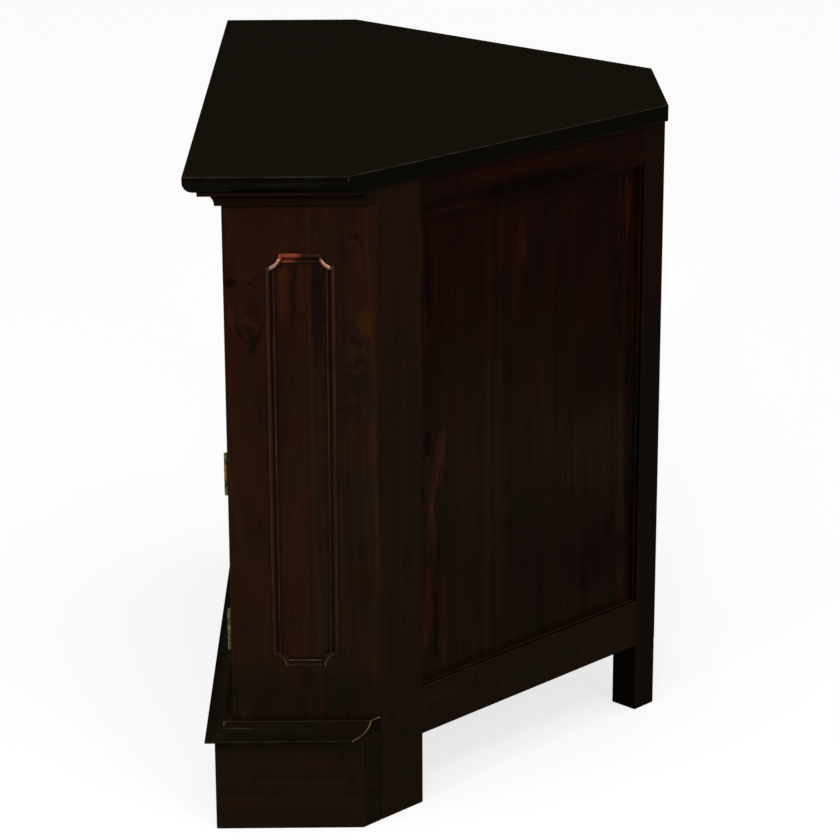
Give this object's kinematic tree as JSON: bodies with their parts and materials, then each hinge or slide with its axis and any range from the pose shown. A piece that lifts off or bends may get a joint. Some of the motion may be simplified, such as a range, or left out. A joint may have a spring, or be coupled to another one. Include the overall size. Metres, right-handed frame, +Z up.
{
  "type": "corner tv cabinet",
  "caption": "Corner television cabinet: an open niche over a cupboard with hinged doors, moulded top, notched-corner mouldings and a plinth base.",
  "frame": {"origin": "on the floor, under the middle of the top board's box", "axes": "+X along the front towards the right return, +Y from the front to the cut-off back, +Z up"},
  "size_m": [1, 0.5624, 0.78],
  "materials": {
    "top_lacquer": "near-black olive-brown gloss lacquer",
    "mahogany": "dark red-brown mahogany, gloss lacquer",
    "dark_mahogany": "darker redder mahogany boards, gloss lacquer",
    "inside_wood": "stained board, matt",
    "brass": "aged brass, satin",
    "steel": "plated steel",
    "brown_plastic": "brown plastic"
  },
  "bodies": {
    "cabinet": {"top_board": "top_lacquer", "cornice_front": "mahogany", "cornice_right": "mahogany", "cornice_left": "mahogany", "plinth_front": "mahogany", "plinth_right": "mahogany", "plinth_left": "mahogany", "base_moulding_front": "mahogany", "base_moulding_right": "mahogany", "base_moulding_left": "mahogany", "return_board_right": "mahogany", "return_board_left": "mahogany", "return_moulding_right": "mahogany", "return_moulding_left": "mahogany", "side_front_post_right": "mahogany", "side_front_post_left": "mahogany", "side_rear_post_right": "mahogany", "side_rear_post_left": "mahogany", "side_top_rail_right": "dark_mahogany", "side_top_rail_left": "dark_mahogany", "side_bottom_rail_right": "mahogany", "side_bottom_rail_left": "mahogany", "side_panel_right": "dark_mahogany", "side_panel_left": "dark_mahogany", "shelf_cleat_right": "inside_wood", "shelf_cleat_left": "inside_wood", "bottom_board": "inside_wood", "niche_shelf": "mahogany", "cupboard_shelf": "inside_wood", "back_panel": "inside_wood", "front_stile_right": "mahogany", "front_stile_left": "mahogany", "front_top_rail": "mahogany", "front_middle_rail": "mahogany", "front_bottom_rail": "mahogany", "upper_hinge_cabinet_leaf_right": "brass", "lower_hinge_cabinet_leaf_right": "brass", "upper_hinge_cabinet_leaf_left": "brass", "lower_hinge_cabinet_leaf_left": "brass", "door_catch": "brown_plastic"},
    "door_right": {"door_hinge_stile_right": "mahogany", "door_meeting_stile_right": "mahogany", "door_top_rail_right": "mahogany", "door_bottom_rail_right": "mahogany", "door_panel_right": "mahogany", "door_moulding_right": "mahogany", "door_knob_right": "brass", "upper_hinge_door_leaf_right": "brass", "lower_hinge_door_leaf_right": "brass", "strike_plate_right": "steel"},
    "door_left": {"door_hinge_stile_left": "mahogany", "door_meeting_stile_left": "mahogany", "door_top_rail_left": "mahogany", "door_bottom_rail_left": "mahogany", "door_panel_left": "mahogany", "door_moulding_left": "mahogany", "door_knob_left": "brass", "upper_hinge_door_leaf_left": "brass", "lower_hinge_door_leaf_left": "brass", "strike_plate_left": "steel"}
  },
  "joints": [
    {"name": "right_door_hinge", "type": "hinge", "parent": "cabinet", "child": "door_right", "pos_m": [0.4187, -0.24435, 0.32], "axis": [0, 0, 1], "range_deg": [0, 180]},
    {"name": "left_door_hinge", "type": "hinge", "parent": "cabinet", "child": "door_left", "pos_m": [-0.4187, -0.24435, 0.32], "axis": [0, 0, -1], "range_deg": [0, 180]}
  ]
}
